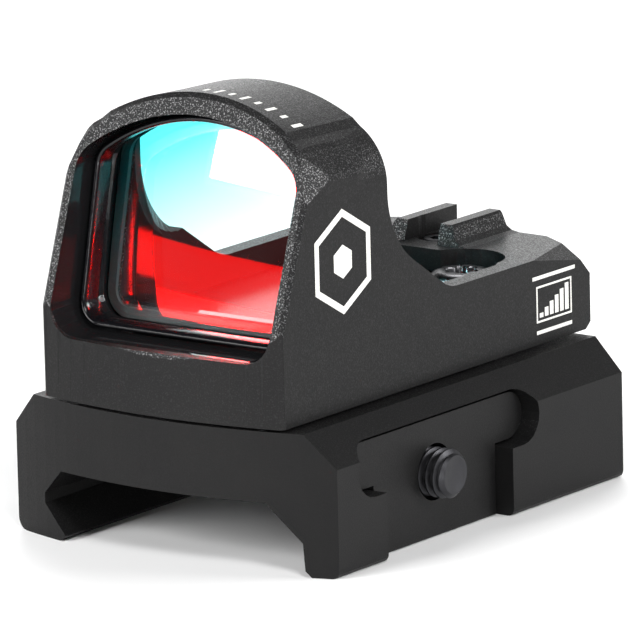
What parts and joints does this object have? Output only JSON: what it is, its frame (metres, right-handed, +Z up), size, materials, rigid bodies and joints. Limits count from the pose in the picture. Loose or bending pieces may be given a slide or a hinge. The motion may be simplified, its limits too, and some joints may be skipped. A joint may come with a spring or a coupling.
{
  "type": "red dot sight",
  "caption": "Miniature open red dot sight: arched lens hood and low rear deck, with a side battery drawer and push buttons, bolted to a low clamp mount for an accessory rail.",
  "frame": {"origin": "centre of the rail seat, the flat roof of the groove in the mount's underside", "axes": "+Z up, away from the rail. -Y towards the target, so the lens faces -Y and the deck is at +Y. +X to the side with the clamp plate and the bolt's threaded end"},
  "size_m": [0.0321, 0.0435, 0.036],
  "materials": {
    "mount_aluminium": "matte black hard anodised",
    "housing_aluminium": "matte black hard anodised, fine blasted",
    "black_steel": "dark phosphated",
    "screw_steel": "satin",
    "bezel_black": "gloss black",
    "lens_coated": "polished, red-reflecting coating",
    "seal_rubber": "matte",
    "button_rubber": "matte",
    "cell_steel": "satin nickel",
    "contact_brass": "satin",
    "board_green": "solder mask",
    "part_black": "matte moulded",
    "print_white": "matte laser print"
  },
  "bodies": {
    "housing": {"rail_mount": "mount_aluminium", "sight_body": "housing_aluminium", "lens_bezel": "bezel_black", "lens_front_element": "lens_coated", "lens_rear_element": "lens_coated", "lens_gasket": "seal_rubber", "bottom_cover": "housing_aluminium", "cover_gasket": "seal_rubber", "cover_screw_1": "screw_steel", "cover_screw_2": "screw_steel", "cover_screw_3": "screw_steel", "cover_screw_4": "screw_steel", "mounting_screw_left": "screw_steel", "mounting_screw_right": "screw_steel", "locating_pin_left": "screw_steel", "locating_pin_right": "screw_steel", "battery_side_contact": "contact_brass", "battery_base_contact": "contact_brass", "circuit_board": "board_green", "control_chip": "part_black", "emitter_return_spring": "screw_steel", "brightness_switch_up": "part_black", "brightness_switch_down": "part_black"},
    "cross_bolt": {"clamp_screw": "black_steel", "clamp_screw_clip": "screw_steel"},
    "clamp_plate": {"clamp_plate": "mount_aluminium"},
    "battery_drawer": {"battery_drawer": "housing_aluminium", "battery_drawer_seal": "seal_rubber", "battery": "cell_steel"},
    "battery_drawer_screw": {"battery_drawer_screw": "black_steel"},
    "button_up": {"brightness_button_up": "button_rubber"},
    "button_down": {"brightness_button_down": "button_rubber"},
    "elevation_screw": {"elevation_screw": "black_steel"},
    "emitter_carriage": {"emitter_carriage": "part_black"},
    "emitter_slider": {"emitter_slider": "part_black", "emitter_led": "contact_brass", "emitter_window": "lens_coated"},
    "windage_screw": {"windage_screw": "black_steel"}
  },
  "joints": [
    {"name": "clamp_screw_turn", "type": "hinge", "parent": "housing", "child": "cross_bolt", "pos_m": [0, -0.00442, -0.00043], "axis": [-1, 0, 0], "range_deg": [0, 1080]},
    {"name": "clamp_plate_slide", "type": "slide", "parent": "housing", "child": "clamp_plate", "axis": [1, 0, 0], "range_m": [0, 0.0021]},
    {"name": "battery_drawer_slide", "type": "slide", "parent": "housing", "child": "battery_drawer", "axis": [-1, 0, 0], "range_m": [0, 0.018]},
    {"name": "battery_drawer_screw_turn", "type": "hinge", "parent": "battery_drawer", "child": "battery_drawer_screw", "pos_m": [-0.0118, -0.0172, 0.0084], "axis": [1, 0, 0], "range_deg": [0, 1080]},
    {"name": "button_up_press", "type": "slide", "parent": "housing", "child": "button_up", "axis": [1, 0, 0], "range_m": [0, 0.00035], "stiffness_N_per_m": 600},
    {"name": "button_down_press", "type": "slide", "parent": "housing", "child": "button_down", "axis": [1, 0, 0], "range_m": [0, 0.00035], "stiffness_N_per_m": 600},
    {"name": "elevation_screw_turn", "type": "hinge", "parent": "housing", "child": "elevation_screw", "pos_m": [0, 0.0164, 0.0125], "axis": [0, 0, 1], "range_deg": [-225, 225]},
    {"name": "emitter_rise", "type": "slide", "parent": "housing", "child": "emitter_carriage", "axis": [0, 0, 1], "range_m": [-0.00025, 0.00025]},
    {"name": "windage_screw_turn", "type": "hinge", "parent": "housing", "child": "windage_screw", "pos_m": [-0.0118, 0.0059, 0.00915], "axis": [1, 0, 0], "range_deg": [-180, 180]},
    {"name": "emitter_shift", "type": "slide", "parent": "emitter_carriage", "child": "emitter_slider", "axis": [1, 0, 0], "range_m": [-0.0002, 0.0002]}
  ],
  "couplings": [
    {"joint": "clamp_screw_turn", "follows": "clamp_plate_slide", "rad_per_m": 8975},
    {"joint": "elevation_screw_turn", "follows": "emitter_rise", "rad_per_m": 15700},
    {"joint": "windage_screw_turn", "follows": "emitter_shift", "rad_per_m": 15700}
  ]
}
